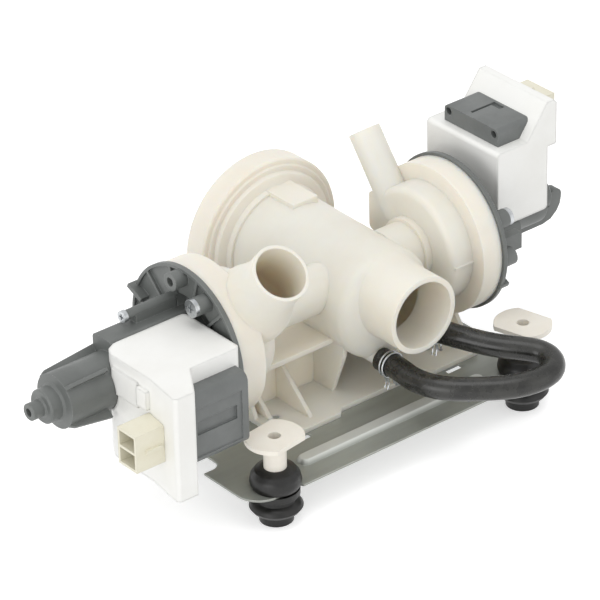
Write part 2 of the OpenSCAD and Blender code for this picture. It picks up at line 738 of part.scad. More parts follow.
// Cover of a pump that is also the motor's frame: dish, shoulder, rotor can and fins
module motor_cover(m) {
    lip = 1.8;
    dish_floor = -1.8;
    boss_a = dish_floor - 0.4;
    fin_t = 2;
    fin_r = can_r + 4.5;
    end = can_len[m];
    tip = end + step_len + nozzle_len[m];
    tie_side = sign(tie_angle[m]);
    color(grey) on_pump(m) difference() {
        union() {
            difference() {
                rod(seat_a[m], 0, rim_r[m]);
                rod(dish_floor, cut, rim_r[m] - lip);
            }
            rod(plug_end[m], seat_a[m] + cut, plug_r);
            dish_ribs(m, boss_a);
            for (angle = screw_angles)
                rod(boss_a, boss_h[m], boss_r, angle, screw_circle_r);
            rod(boss_a, boss_h[m] - 0.3, boss_r, open_boss_angle, open_boss_dist);
            round_bar(plug_end[m] + cut, shoulder_len[m], [-shoulder_p, coil_p0 - play],
                [-shoulder_q, shoulder_q], 3);
            rod(plug_end[m], end, can_r);
            along_a() rotate_extrude() polygon([[0, end - cut], [can_r, end - cut],
                [can_r - 0.8, end], [step_r + 1.2, end + 0.6], [step_r, end + 1.6],
                [step_r, end + step_len - 0.8], [step_r - 0.8, end + step_len],
                [nozzle_r + 0.8, end + step_len], [nozzle_r, end + step_len + 0.8],
                [nozzle_r, tip - 0.4], [nozzle_r - 0.4, tip], [0, tip]]);
            for (angle = fins[m]) rotate([angle, 0, 0])
                translate([0, 0, -fin_t / 2]) linear_extrude(fin_t) polygon([
                    [fin_start(m, angle), can_r - 1], [fin_start(m, angle), fin_r + 0.5],
                    [end - 3, can_r + 2], [end, can_r + 0.4], [end, can_r - 1]]);
            rod(-1, tie_seat, tie_r + 1.3, tie_angle[m], tie_dist);
            scale([1, 1, tie_side]) box([-1, -10.8, shoulder_q - 1], [28, -5.2, 27]);
            for (angle = [tab_angle[m], tab_angle[m] + 130]) rotate([angle, 0, 0])
                box([seat_a[m], tab_r[m][0], -2.4], [4, tab_r[m][1], 0]);
            if (m == 1) {
                can_arm(end);
                box([-1, -4, 30], [19.7, 6, 36]);
            }
        }
        rod(plug_end[m] - cut, bore_end[m], can_bore_r);
        rod(bore_end[m] - cut, bore_end[m] + bearing_len, bearing_r + fit);
        rod(bore_end[m], bore_end[m] + bearing_len + 2, shaft_r + 1);
        rod(tip - 3, tip + cut, nozzle_r / 2);
        difference() {
            rod(plug_end[m] + 2.5, cut, 29.5);
            rod(plug_end[m] - cut, 2 * cut, can_r + 3);
            round_bar(plug_end[m], 3 * cut, [-shoulder_p, coil_p0 - play],
                [-shoulder_q, shoulder_q], 3);
            dish_ribs(m, plug_end[m]);
        }
        difference() {
            rod(seat_a[m] - 4.8, seat_a[m] - 1.8, plug_r + cut);
            rod(seat_a[m] - 5, seat_a[m], plug_r - 2.3);
        }
        for (angle = screw_angles)
            rod(seat_a[m] - cut, boss_h[m] + cut, cover_screw_r + play, angle, screw_circle_r);
        rod(1, boss_h[m] + cut, boss_r / 2, open_boss_angle, open_boss_dist);
        rod(12, tie_seat + cut, tie_r + fit, tie_angle[m], tie_dist);
    }
}

// Fins on the coil side start outside the terminal board
function fin_start(m, angle) = cos(angle) > 0 ? board_a[m][2] + 0.5 : shoulder_len[m] - 1;

module cover_seal(m) {
    color(rubber) on_pump(m) translate([seat_a[m] - 3.3, 0, 0]) along_a()
        rotate_extrude() translate([plug_r - 1.05, 0]) circle(1.2, $fn = 32);
}

module pan_screw(a_end, a_seat, shank_r, head_r, angle, dist) {
    rod(a_end, a_seat + 0.1, shank_r, angle, dist);
    difference() {
        rod(a_seat, a_seat + head_h, head_r, angle, dist);
        translate([a_seat + head_h, dist * cos(angle), dist * sin(angle)])
            for (t = [0, 90]) rotate([t, 0, 0])
                box([-1.2, -head_r * 0.5, -0.5], [cut, head_r * 0.5, 0.5]);
    }
}

module cover_screws(m) {
    color(zinc) on_pump(m) for (angle = screw_angles)
        pan_screw(seat_a[m] - 8.5, boss_h[m], cover_screw_r, screw_head_r, angle,
            screw_circle_r);
}

module stator_screw(m) {
    color(zinc) on_pump(m)
        pan_screw(14, tie_seat, tie_r, tie_head_r, tie_angle[m], tie_dist);
}

// Slanted inner wall of the terminal board: a at a height p above the axis
function slant_a(m, p) = board_a[m][0]
    + (board_a[m][1] - board_a[m][0]) * (p - coil_p) / (board_p - coil_p);

function arm_q(m) = [yoke_q[m][0] + arm_inset, yoke_q[m][1] - arm_inset - arm_w];

// Laminated core: yoke in a grey moulding, two arms, and pole shoes round the can
module stator_core(m) {
    y0 = coil_p + fit;
    a0 = yoke_a[m];
    q = yoke_q[m];
    shoe_p = 20;
    shoe_q = [arm_q(m)[0], coil_q[m][1] - coil_wall - 0.5];
    color(grey) on_pump(m) difference() {
        union() {
            intersection() {
                translate([0, 0, q[0] - cut]) linear_extrude(q[1] - q[0] + 2 * cut)
                    polygon([[a0, y0], [slant_a(m, y0) - fit, y0],
                        [slant_a(m, yoke_p) - fit, yoke_p], [a0, yoke_p]]);
                round_bar(a0 - cut, 60, [y0 - 6, yoke_p], q, yoke_round[m]);
            }
            for (qa = arm_q(m))
                box([stack_a[m][0], shoe_p - cut, qa], [stack_a[m][1], y0 + cut, qa + arm_w]);
            box([stack_a[m][0], coil_p0 + 1, shoe_q[0]], [stack_a[m][1], shoe_p, shoe_q[1]]);
        }
        rod(stack_a[m][0] - cut, stack_a[m][1] + cut, can_r + 0.5);
        box([stack_a[m][0] - cut, can_r - 2, -11.5], [stack_a[m][1] + cut, shoe_p + cut, -7]);
        if (m == 0) {
            box([9.5, yoke_p - 0.8, -26.5], [45, yoke_p + cut, 3]);
            box([12.5, yoke_p - 2.2, -13.4], [39, yoke_p + cut, -5]);
        } else {
            box([25, yoke_p - 1.5, -13.2], [41, yoke_p + cut, -11.2]);
            box([39, yoke_p - 1.5, -13.2], [43, yoke_p + cut, -4.5]);
        }
        for (qh = [q[0] + 3.6, q[1] - 3.6])
            translate([0, yoke_p - 3.6, 0]) rod(a0 - cut, a0 + 8, 2.25, 90, qh);
    }
}

// Windings on the core's arms
module windings(m) {
    color(copper) on_pump(m) for (qa = arm_q(m)) difference() {
        round_bar(stack_a[m][0] - winding_t - 0.7, stack_a[m][1] + winding_t + 0.7,
            [22, coil_p - coil_wall - 2], [qa - winding_t - 0.2, qa + arm_w + winding_t + 0.2], 1);
        box([stack_a[m][0] - 0.2, 20, qa - 0.2],
            [stack_a[m][1] + 0.2, coil_p, qa + arm_w + 0.2]);
    }
}

// White cover over the windings, in one piece with the board that holds the connector
module coil_cover(m) {
    a = coil_a[m];
    q = coil_q[m];
    b = board_a[m];
    color(white) on_pump(m) difference() {
        union() {
            translate([0, 0, q[0]]) linear_extrude(q[1] - q[0])
                round_rect([a[0], coil_p0], [a[1], coil_p], 2.5);
            translate([0, 0, board_q[m][0]]) linear_extrude(board_q[m][1] - board_q[m][0])
                polygon(m == 0
                    ? [[b[1], coil_p0 + 0.2], [a[1], coil_p0 + 0.2], [a[1] + 5, 6],
                        [board_face, 11], [board_face, board_step_p + 2], [b[2], board_p - 2],
                        [b[2] - 2, board_p], [b[1], board_p], [b[0], coil_p],
                        [b[0], coil_p - 4], [b[1], coil_p - 4]]
                    : [[a[1] - 6, board_step_p], [b[2] - 1, board_step_p],
                        [b[2], board_step_p + 1], [b[2], board_p - 2],
                        [b[2] - 2, board_p], [b[1], board_p], [b[0], coil_p],
                        [b[0], coil_p - 4], [a[1] - 6, coil_p - 4]]);
            if (m == 0) {
                box([board_face - cut, 12.5, 0], [board_face + 1.2, 34.5, 15.5]);
                box([board_face - cut, 35, 3], [board_face + 2.5, 43.5, 14]);
            }
        }
        box([a[0] + coil_wall, -cut, q[0] + coil_wall],
            [a[1] - 4, coil_p - coil_wall, q[1] - coil_wall]);
        for (qa = arm_q(m))
            box([stack_a[m][0] - 0.2, coil_p - 6, qa - 0.2],
                [stack_a[m][1] + 0.2, coil_p + cut, qa + arm_w + 0.2]);
        rod(a[0] - cut, b[2] + cut, can_r + play);
        box([plug_a[m][0] - fit, plug_p[m][0] - fit, plug_q[m][0] - fit],
            [b[2] + cut, plug_p[m][1] + fit, plug_q[m][1] + fit]);
    }
}

// Socket for the plug, with two cavities one above the other
module connector(m) {
    a = plug_a[m];
    p = plug_p[m];
    q = plug_q[m];
    skin = 1.5;
    mid = (q[0] + q[1]) / 2;
    floor_a = a[0] + plug_floor[m];
    color(ivory) on_pump(m) difference() {
        union() {
            box([a[0], p[0], q[0]], [a[1], p[1], q[1]]);
            box([board_a[m][2] + 1, p[1] - cut, mid - 1], [a[1] - 6, p[1] + 1.6, mid + 1]);
        }
        box([floor_a, p[0] + skin, q[0] + skin], [a[1] + cut, p[1] - skin, mid - skin / 2]);
        box([floor_a, p[0] + skin, mid + skin / 2], [a[1] + cut, p[1] - skin, q[1] - skin]);
        for (t = terminal_q(m))
            box([a[0] - cut, blade_p(m) - fit, t - fit],
                [floor_a + cut, blade_p(m) + 4.8 + fit, t + 0.8 + fit]);
    }
}

function blade_p(m) = (plug_p[m][0] + plug_p[m][1]) / 2 - 2.4;
function terminal_q(m) = [for (k = [0.27, 0.73])
    plug_q[m][0] + k * (plug_q[m][1] - plug_q[m][0]) - 0.4];

module terminals(m) {
    color(zinc) on_pump(m) for (t = terminal_q(m))
        box([plug_a[m][0], blade_p(m), t], [plug_a[m][1] - 5, blade_p(m) + 4.8, t + 0.8]);
}

module front_bearing(m) {
    color(carbon) on_pump(m) difference() {
        rod(plug_end[m] + 0.5, plug_end[m] + 7, can_bore_r - fit);
        rod(plug_end[m] - cut, plug_end[m] + 8, shaft_r + fit);
    }
}

module rear_bearing(m) {
    color(carbon) on_pump(m) difference() {
        rod(bore_end[m], bore_end[m] + bearing_len - 0.5, bearing_r);
        rod(bore_end[m] - cut, bore_end[m] + bearing_len, shaft_r + fit);
    }
}

module shaft(m) {
    color(zinc) on_pump(m) rod(volute_end[m] + 5, bore_end[m] + bearing_len, shaft_r);
}

module magnet(m) {
    a0 = m == 0 ? 8 : 12;
    color(carbon) on_pump(m) difference() {
        rod(a0, a0 + magnet_len, magnet_r);
        rod(a0 - cut, a0 + magnet_len + cut, shaft_r + 0.02);
    }
}

// Impeller: straight blades in the drain pump, curved blades in the circulation pump
module curved_blade(hub_r, tip_r) {
    curve_r = tip_r * 0.75;
    intersection() {
        translate([hub_r - 1, 2 - curve_r]) difference() {
            circle(curve_r);
            circle(curve_r - blade_t);
        }
        difference() {
            circle(tip_r - 1);
            circle(hub_r - 1);
        }
        square(tip_r);
    }
}

module impeller(m) {
    a1 = plug_end[m] - 2;
    a0 = volute_end[m] + 3;
    blades = m == 0 ? 6 : 7;
    hub_r = 7;
    back_r = m == 0 ? imp_r[m] * 0.6 : imp_r[m];
    color(m == 0 ? grey : carbon) on_pump(m) difference() {
        union() {
            rod(a0 + 1, a1, hub_r);
            rod(a1 - 2, a1, back_r);
            for (i = [0:blades - 1]) rotate([i * 360 / blades, 0, 0])
                if (m == 0)
                    box([a0, hub_r - 1, -blade_t / 2], [a1 - 0.5, imp_r[m], blade_t / 2]);
                else
                    translate([a0, 0, 0]) rotate([90, 0, 90]) linear_extrude(a1 - a0 - 1)
                        curved_blade(hub_r, imp_r[m]);
        }
        rod(a0 - cut, a1 + cut, shaft_r + 0.02);
    }
}

// Tube of round section swept through points, with a start and an end direction
function unit(v) = v / norm(v);
function tangent(path, k, first, last) = k == 0 ? first
    : k == len(path) - 1 ? last
    : unit(path[k + 1] - path[k - 1]);
// Side vector carried along the path without twist
function side(path, k, first, last, u0) = k == 0 ? u0
    : let (t = tangent(path, k, first, last), u = side(path, k - 1, first, last, u0))
        unit(u - (u * t) * t);
function ring(centre, t, u, r, sides) = let (v = cross(u, t))
    [for (i = [0:sides - 1]) centre
        + r * (cos(i * 360 / sides) * u + sin(i * 360 / sides) * v)];

module swept_tube(path, r, sides, first, last, u0) {
    n = len(path);
    points = [for (k = [0:n - 1]) each ring(path[k], tangent(path, k, first, last),
        side(path, k, first, last, u0), r, sides)];
    walls = [for (k = [0:n - 2], i = [0:sides - 1]) let (j = (i + 1) % sides)
        each [[k * sides + i, (k + 1) * sides + j, k * sides + j],
            [k * sides + i, (k + 1) * sides + i, (k + 1) * sides + j]]];
    ends = [[for (i = [0:sides - 1]) i],
        [for (i = [sides - 1:-1:0]) (n - 1) * sides + i]];
    polyhedron(points = points, faces = concat(walls, ends));
}

// Hose with a bore at each end for the spigot
module hose() {
    color(rubber) difference() {
        swept_tube(hose_route, hose_d / 2, 12, port_a_dir, -port_b_dir, [1, 0, 0]);
        for (end = [[port_a, port_a_dir], [port_b, port_b_dir]])
            at_port(end[0], end[1]) translate([0, 0, -cut])
                cylinder(h = spigot_in + cut + play, r = spigot_r + fit, $fn = 48);
    }
}

// Spring clamp of one wire in two turns, with its ears bent out below
function clamp_path(r, gap, ear, pitch) = concat(
    [[r + ear, -0.25 * (r + ear), 0], [r + ear / 2, -0.32 * r, 0]],
    [for (i = [0:20]) let (t = -gap - i * (360 - 2 * gap) / 20) [r * cos(t), r * sin(t), 0]],
    [[r + ear / 2, 0.32 * r, 0], [r + ear, 0.25 * (r + ear), 0],
        [r + ear + 0.4, 0.25 * (r + ear), pitch / 2], [r + ear, 0.25 * (r + ear), pitch],
        [r + ear / 2, 0.32 * r, pitch]],
    [for (i = [0:20]) let (t = gap + i * (360 - 2 * gap) / 20)
        [r * cos(t), r * sin(t), pitch]],
    [[r + ear / 2, -0.32 * r, pitch], [r + ear, -0.25 * (r + ear), pitch]]);

module hose_clamp(port, dir, along) {
    path = clamp_path(hose_d / 2 + clamp_wire_d / 2 + 2 * fit, 25, 6.5, 2.4);
    color(zinc) at_port(port, dir) translate([0, 0, along])
        swept_tube(path, clamp_wire_d / 2, 8, [-1, 0, 0], [1, 0, 0], [0, 0, 1]);
}

base_plate();
base_screws();
isolator(-iso_x, -iso_y);  // isolator_front_left
isolator(iso_x, -iso_y);  // isolator_front_right
isolator(-iso_x, iso_y);  // isolator_rear_left
isolator(iso_x, iso_y);  // isolator_rear_right
bushing(-iso_x, -iso_y, 8);  // bushing_front_left
bushing(iso_x, -iso_y, 105);  // bushing_front_right
bushing(-iso_x, iso_y, 8);  // bushing_rear_left
bushing(iso_x, iso_y, 105);  // bushing_rear_right
pump_housing();
filter_cap();
filter_seal();
filter_insert();
motor_cover(0);  // drain_motor_cover
cover_seal(0);  // drain_cover_seal
cover_screws(0);  // drain_cover_screws
stator_core(0);  // drain_stator_core
windings(0);  // drain_windings
coil_cover(0);  // drain_coil_cover
connector(0);  // drain_connector
terminals(0);  // drain_terminals
stator_screw(0);  // drain_stator_screw
front_bearing(0);  // drain_front_bearing
rear_bearing(0);  // drain_rear_bearing
shaft(0);  // drain_shaft
magnet(0);  // drain_magnet
impeller(0);  // drain_impeller
motor_cover(1);  // circulation_motor_cover
cover_seal(1);  // circulation_cover_seal
cover_screws(1);  // circulation_cover_screws
stator_core(1);  // circulation_stator_core
windings(1);  // circulation_windings
coil_cover(1);  // circulation_coil_cover
connector(1);  // circulation_connector
terminals(1);  // circulation_terminals
stator_screw(1);  // circulation_stator_screw
front_bearing(1);  // circulation_front_bearing
rear_bearing(1);  // circulation_rear_bearing
shaft(1);  // circulation_shaft
magnet(1);  // circulation_magnet
impeller(1);  // circulation_impeller
hose();
hose_clamp(port_a, port_a_dir, 6.5);  // hose_clamp_front
hose_clamp(port_b, port_b_dir, 6.5);  // hose_clamp_rear
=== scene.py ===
import math
import bpy
from mathutils import Euler, Matrix, Vector


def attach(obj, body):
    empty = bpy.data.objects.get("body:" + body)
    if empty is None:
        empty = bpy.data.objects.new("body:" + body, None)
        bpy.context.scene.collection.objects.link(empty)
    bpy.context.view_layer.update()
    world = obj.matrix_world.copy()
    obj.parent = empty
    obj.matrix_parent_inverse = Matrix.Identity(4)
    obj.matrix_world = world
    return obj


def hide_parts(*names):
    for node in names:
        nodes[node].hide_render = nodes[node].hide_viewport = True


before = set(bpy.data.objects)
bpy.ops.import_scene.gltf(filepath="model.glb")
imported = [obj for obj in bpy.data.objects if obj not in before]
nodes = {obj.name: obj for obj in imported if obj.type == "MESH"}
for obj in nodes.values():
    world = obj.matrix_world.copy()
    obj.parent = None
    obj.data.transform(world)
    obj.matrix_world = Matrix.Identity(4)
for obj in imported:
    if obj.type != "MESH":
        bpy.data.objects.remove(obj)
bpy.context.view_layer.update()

scene = bpy.context.scene
motors = ("drain", "circulation")
plate_corners = ("front_left", "front_right", "rear_left", "rear_right")

# Camera at the photograph's angle: a long lens, from the front left and above.
# It looks down on the drain pump's side of the unit, with a slight roll.
camera_place = Vector((-1.2476, -1.5215, 1.2211))
camera_azimuth = math.radians(-38.877)
camera_elevation = math.radians(30.214)
camera_roll = math.radians(-1.372)
camera_data = bpy.data.cameras.new("camera")
camera_data.lens = 248.5
camera_data.sensor_width = 36
camera_data.clip_end = 20
camera = bpy.data.objects.new("camera", camera_data)
scene.collection.objects.link(camera)
camera_turn = Euler((math.radians(90) - camera_elevation, 0, camera_azimuth)).to_matrix()
camera_turn = camera_turn @ Matrix.Rotation(camera_roll, 3, "Z")
camera.matrix_world = Matrix.Translation(camera_place) @ camera_turn.to_4x4()
scene.camera = camera

# The hose is a black moulded rubber tube, pushed over two small spigots of the chamber.
# Its bends are moulded in, so it keeps this loop without lying on anything.
# Its skin is half gloss, clouded with paler and duller patches.


def srgb(red, green, blue):
    """A colour as a screen shows it, 0 to 255, in the linear values that a socket takes."""
    linear = []
    for value in (red, green, blue):
        share = value / 255
        linear.append(share / 12.92 if share <= 0.04045 else ((share + 0.055) / 1.055) ** 2.4)
    return (*linear, 1)


def add_node(tree, kind, **values):
    """Adds a node and sets its own settings."""
    node = tree.nodes.new(kind)
    for key, value in values.items():
        setattr(node, key, value)
    return node


def ranged(tree, value, low, high, out_low, out_high):
    """Maps a value from one range to another, held between the two ends."""
    node = add_node(tree, "ShaderNodeMapRange", clamp=True)
    tree.links.new(value, node.inputs["Value"])
    for name, bound in (("From Min", low), ("From Max", high), ("To Min", out_low), ("To Max", out_high)):
        if isinstance(bound, bpy.types.NodeSocket):
            tree.links.new(bound, node.inputs[name])
        else:
            node.inputs[name].default_value = bound
    return node.outputs["Result"]


def joined(tree, operation, first, second):
    """Joins two values into one, as the operation says."""
    node = add_node(tree, "ShaderNodeMath", operation=operation)
    tree.links.new(first, node.inputs[0])
    tree.links.new(second, node.inputs[1])
    return node.outputs[0]


def blended(tree, share, first, second):
    """Mixes two colours by a mask. The second may be a plain colour."""
    node = add_node(tree, "ShaderNodeMix", data_type="RGBA")
    tree.links.new(share, node.inputs["Factor"])
    tree.links.new(first, node.inputs["A"])
    if isinstance(second, bpy.types.NodeSocket):
        tree.links.new(second, node.inputs["B"])
    else:
        node.inputs["B"].default_value = second
    return node.outputs["Result"]


def noise(tree, place, scale, detail):
    """Adds a noise pattern and gives its value."""
    node = add_node(tree, "ShaderNodeTexNoise")
    tree.links.new(place, node.inputs["Vector"])
    tree.links.new(scale, node.inputs["Scale"])
    node.inputs["Detail"].default_value = detail
    node.inputs["Roughness"].default_value = 0.6
    return node.outputs["Fac"]


# The surface of every made piece: clouds of a second tint, a fine grain, edges that
# catch the light because no moulded or pressed edge is sharp, and rubbed edges.
# Pattern values and cosines at which each effect starts and is full:
cloud_start = 0.4
cloud_full = 0.68
dull_start = 0.35
dull_full = 0.7
edge_start = 0.99
edge_full = 0.86
rub_start = 0.35
rub_full = 0.6
least_rub = 0.25
surface = bpy.data.node_groups.new("made_surface", "ShaderNodeTree")
for name, kind, start in (
        ("Colour", "NodeSocketColor", (0.8, 0.8, 0.8, 1)), ("Tint", "NodeSocketColor", (0.7, 0.7, 0.7, 1)),
        ("Edge Colour", "NodeSocketColor", (0.9, 0.9, 0.9, 1)), ("Stretch", "NodeSocketVector", (1, 1, 1)),
        ("Cloud Scale", "NodeSocketFloat", 30), ("Cloud Share", "NodeSocketFloat", 0.5),
        ("Grain Scale", "NodeSocketFloat", 700), ("Grain Depth", "NodeSocketFloat", 0.00002),
        ("Edge Radius", "NodeSocketFloat", 0.0007), ("Edge Share", "NodeSocketFloat", 0.3),
        ("Smooth", "NodeSocketFloat", 0.35), ("Rough", "NodeSocketFloat", 0.5)):
    socket = surface.interface.new_socket(name=name, in_out="INPUT", socket_type=kind)
    socket.default_value = start
for name, kind in (("Colour", "NodeSocketColor"), ("Roughness", "NodeSocketFloat"),
                   ("Normal", "NodeSocketVector")):
    surface.interface.new_socket(name=name, in_out="OUTPUT", socket_type=kind)
given = add_node(surface, "NodeGroupInput").outputs
result = add_node(surface, "NodeGroupOutput").inputs
stretched = add_node(surface, "ShaderNodeVectorMath", operation="MULTIPLY")
surface.links.new(add_node(surface, "ShaderNodeTexCoord").outputs["Object"], stretched.inputs[0])
surface.links.new(given["Stretch"], stretched.inputs[1])
clouds = noise(surface, stretched.outputs[0], given["Cloud Scale"], detail=5)
cloud_shape = ranged(surface, clouds, cloud_start, cloud_full, 0, 1)
cloud_mask = joined(surface, "MULTIPLY", cloud_shape, given["Cloud Share"])
grain = noise(surface, stretched.outputs[0], given["Grain Scale"], detail=3)
rounded = add_node(surface, "ShaderNodeBevel", samples=6)
surface.links.new(given["Edge Radius"], rounded.inputs["Radius"])
facing = add_node(surface, "ShaderNodeVectorMath", operation="DOT_PRODUCT")
surface.links.new(rounded.outputs["Normal"], facing.inputs[0])
surface.links.new(add_node(surface, "ShaderNodeNewGeometry").outputs["Normal"], facing.inputs[1])
edge_line = ranged(surface, facing.outputs["Value"], edge_start, edge_full, 0, 1)
rub = ranged(surface, grain, rub_start, rub_full, least_rub, 1)
edge_mask = joined(surface, "MULTIPLY", joined(surface, "MULTIPLY", edge_line, rub), given["Edge Share"])
clouded = blended(surface, cloud_mask, given["Colour"], given["Tint"])
surface.links.new(blended(surface, edge_mask, clouded, given["Edge Colour"]), result["Colour"])
surface.links.new(ranged(surface, clouds, dull_start, dull_full, given["Smooth"], given["Rough"]),
                  result["Roughness"])
relief = add_node(surface, "ShaderNodeBump")
surface.links.new(grain, relief.inputs["Height"])
surface.links.new(given["Grain Depth"], relief.inputs["Distance"])
surface.links.new(rounded.outputs["Normal"], relief.inputs["Normal"])
surface.links.new(relief.outputs["Normal"], result["Normal"])


def shader_of(material):
    """The inputs of a material's main shader."""
    return material.node_tree.nodes["Principled BSDF"].inputs


def made_material(name, colour, tint, edge, metallic=0.0, stretch=(1, 1, 1), **values):
    """A material with the made surface in its own colours and values."""
    material = bpy.data.materials.new(name)
    material.use_nodes = True
    shader = shader_of(material)
    shader["Metallic"].default_value = metallic
    coat = add_node(material.node_tree, "ShaderNodeGroup", node_tree=surface)
    coat.inputs["Colour"].default_value = colour
    coat.inputs["Tint"].default_value = tint
    coat.inputs["Edge Colour"].default_value = edge
    coat.inputs["Stretch"].default_value = stretch
    for key, value in values.items():
        coat.inputs[key.replace("_", " ").title()].default_value = value
    for made, taken in (("Colour", "Base Color"), ("Roughness", "Roughness"), ("Normal", "Normal")):
        material.node_tree.links.new(coat.outputs[made], shader[taken])
    return material


# The middle line of the hose, in millimetres, from the front spigot to the rear one.
mm_per_m = 1000
hose_points = [
    (9.5, -32.5, 48), (9.5, -39.5, 48), (9.5, -46.5, 48), (9.2, -52, 47.9), (8.9, -57.3, 47.7),
    (9.6, -64.3, 47.6), (11.6, -71, 47.5), (15, -77.1, 47.5), (19.4, -82.4, 47.5),
    (24.6, -87.1, 47.5), (30, -91.4, 47.4), (35.5, -95.7, 47.5), (41.2, -99.8, 47.7),
    (47.2, -103.2, 48), (53.6, -105.4, 48.3), (60, -106.5, 48.7), (65, -106.4, 49.1),
    (69.5, -105.1, 49.6), (73.4, -102, 50.2), (75.7, -97.6, 50.9), (75.9, -92.6, 51.6),
    (74, -88, 52.3), (70.4, -83.8, 53), (66.3, -79.3, 53.5), (62, -74.3, 53.8),
    (58, -68.9, 54.2), (54.5, -63.2, 54.6), (51.4, -57.3, 55), (48.6, -51.3, 55.3),
    (46, -45, 55.5), (43.5, -38.5, 55.5), (41, -32, 55.5)]
hose_radius = 0.0067
hose_curve = bpy.data.curves.new("moulded_hose", "CURVE")
hose_curve.dimensions = "3D"
hose_curve.bevel_depth = hose_radius
hose_curve.bevel_resolution = 8
hose_curve.resolution_u = 6
hose_curve.use_fill_caps = True
hose_spline = hose_curve.splines.new("BEZIER")
hose_spline.bezier_points.add(len(hose_points) - 1)
for point, spot in zip(hose_spline.bezier_points, hose_points):
    point.co = Vector(spot) / mm_per_m
    point.handle_left_type = "AUTO"
    point.handle_right_type = "AUTO"
hose = bpy.data.objects.new("moulded_hose", hose_curve)
scene.collection.objects.link(hose)
hose_rubber = made_material(
    "hose_rubber", srgb(33, 33, 31), srgb(66, 66, 62), srgb(90, 90, 86), cloud_scale=90,
    cloud_share=0.6, grain_scale=420, grain_depth=0.00005, edge_radius=0.0004, edge_share=0.2,
    smooth=0.2, rough=0.36)
hose_curve.materials.append(hose_rubber)
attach(hose, "frame")
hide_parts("hose")

# The hose clamps are rings of two turns of spring wire, with their ears bent outwards.
# They are drawn steel wire with a bright zinc coat.
# Angles in degrees, below which two faces that meet are shaded as one round surface:
usual_limit = 32
ribbed_limit = 28
ring_limit = 50
merge_distance = 0.00001
same_way = 0.9999


def soften(mesh, limit):
    """Takes the normals of the solid's own surfaces, blended where two meet softly."""
    own = [Vector(item.vector) for item in mesh.attributes["surface_normal"].data]
    corners_at = {}
    for corner, loop in enumerate(mesh.loops):
        corners_at.setdefault(loop.vertex_index, []).append(corner)
    soft = [None] * len(own)
    least = math.cos(limit)
    for corners in corners_at.values():
        ways = []
        for corner in corners:
            if all(own[corner].dot(way) < same_way for way in ways):
                ways.append(own[corner])
        for corner in corners:
            near = [way for way in ways if way.dot(own[corner]) > least]
            soft[corner] = sum(near, Vector()).normalized()
    mesh.normals_split_custom_set(soft)
    mesh.attributes.remove(mesh.attributes["surface_normal"])


def dress(name, material, body="frame", limit=usual_limit):
    """Joins a solid's loose triangles in a copy, smooths its round faces and dresses it."""
    for picked in list(bpy.context.selected_objects):
        picked.select_set(False)
    piece = bpy.data.objects.new(name + "_made", nodes[name].data.copy())
    scene.collection.objects.link(piece)
    piece.select_set(True)
    bpy.context.view_layer.objects.active = piece
    store = piece.data.attributes.new("surface_normal", "FLOAT_VECTOR", "CORNER")
    for item, normal in zip(store.data, piece.data.corner_normals):
        item.vector = normal.vector
    bpy.ops.mesh.customdata_custom_splitnormals_clear()
    bpy.ops.object.mode_set(mode="EDIT")
    bpy.ops.mesh.select_all(action="SELECT")
    bpy.ops.mesh.remove_doubles(threshold=merge_distance)
    bpy.ops.object.mode_set(mode="OBJECT")
    bpy.ops.object.shade_smooth()
    soften(piece.data, math.radians(limit))
    piece.data.materials.clear()
    piece.data.materials.append(material)
    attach(piece, body)
    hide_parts(name)
    piece.select_set(False)


wire_zinc = made_material(
    "wire_zinc", srgb(214, 216, 218), srgb(172, 175, 178), srgb(235, 236, 238), metallic=1.0,
    cloud_scale=220, cloud_share=0.6, grain_scale=900, grain_depth=0.00001, edge_radius=0.0001,
    edge_share=0.1, smooth=0.22, rough=0.38)
for end in ("front", "rear"):
    dress("hose_clamp_" + end, wire_zinc, limit=ring_limit)

# The base plate is pressed from sheet steel and coated grey green, with a long bead on
# each side. Rolling has left faint streaks along it, and its cut edges and the bead's edges are rubbed.
# The raised bead is painted paler from its foot up, a painted highlight.
plate_steel = made_material(
    "plate_steel", srgb(158, 161, 154), srgb(138, 141, 134), srgb(206, 208, 202), metallic=0.3,
    stretch=(0.18, 1, 1), cloud_scale=46, cloud_share=0.75, grain_scale=520, grain_depth=0.00003,
    edge_radius=0.0009, edge_share=0.7, smooth=0.26, rough=0.42)
# Heights over which the raised bead is painted paler, a painted highlight:
bead_low = 0.0217
bead_top = 0.0236
bead_highlight_colour = srgb(206, 208, 203)
plate_tree = plate_steel.node_tree
plate_colour = shader_of(plate_steel)["Base Color"]
plate_height = add_node(plate_tree, "ShaderNodeSeparateXYZ")
plate_tree.links.new(add_node(plate_tree, "ShaderNodeTexCoord").outputs["Object"], plate_height.inputs[0])
bead_highlight_mask = ranged(plate_tree, plate_height.outputs["Z"], bead_low, bead_top, 0, 1)
plate_tree.links.new(blended(plate_tree, bead_highlight_mask, plate_colour.links[0].from_socket, bead_highlight_colour),
                     plate_colour)
dress("base_plate", plate_steel)

# Four screws come up through the plate into the housing's foot.
# They are steel with a bright zinc coat that has clouded a little.
screw_zinc = made_material(
    "screw_zinc", srgb(200, 203, 205), srgb(160, 163, 166), srgb(232, 233, 234), metallic=1.0,
    cloud_scale=260, cloud_share=0.7, grain_scale=1200, grain_depth=0.00002, edge_radius=0.0003,
    edge_share=0.5, smooth=0.25, rough=0.42)
dress("base_screws", screw_zinc)

# The isolators are soft black rubber, moulded in one piece with a bulb above the plate
# and a disc below it. The rubber is dull, greyed with dust and paler on its edges.
isolator_rubber = made_material(
    "isolator_rubber", srgb(11, 11, 10), srgb(36, 35, 32), srgb(70, 70, 66), cloud_scale=95,
    cloud_share=0.5, grain_scale=650, grain_depth=0.00007, edge_radius=0.0006, edge_share=0.45,
    smooth=0.3, rough=0.52)
for corner in plate_corners:
    dress("isolator_" + corner, isolator_rubber, limit=ribbed_limit)

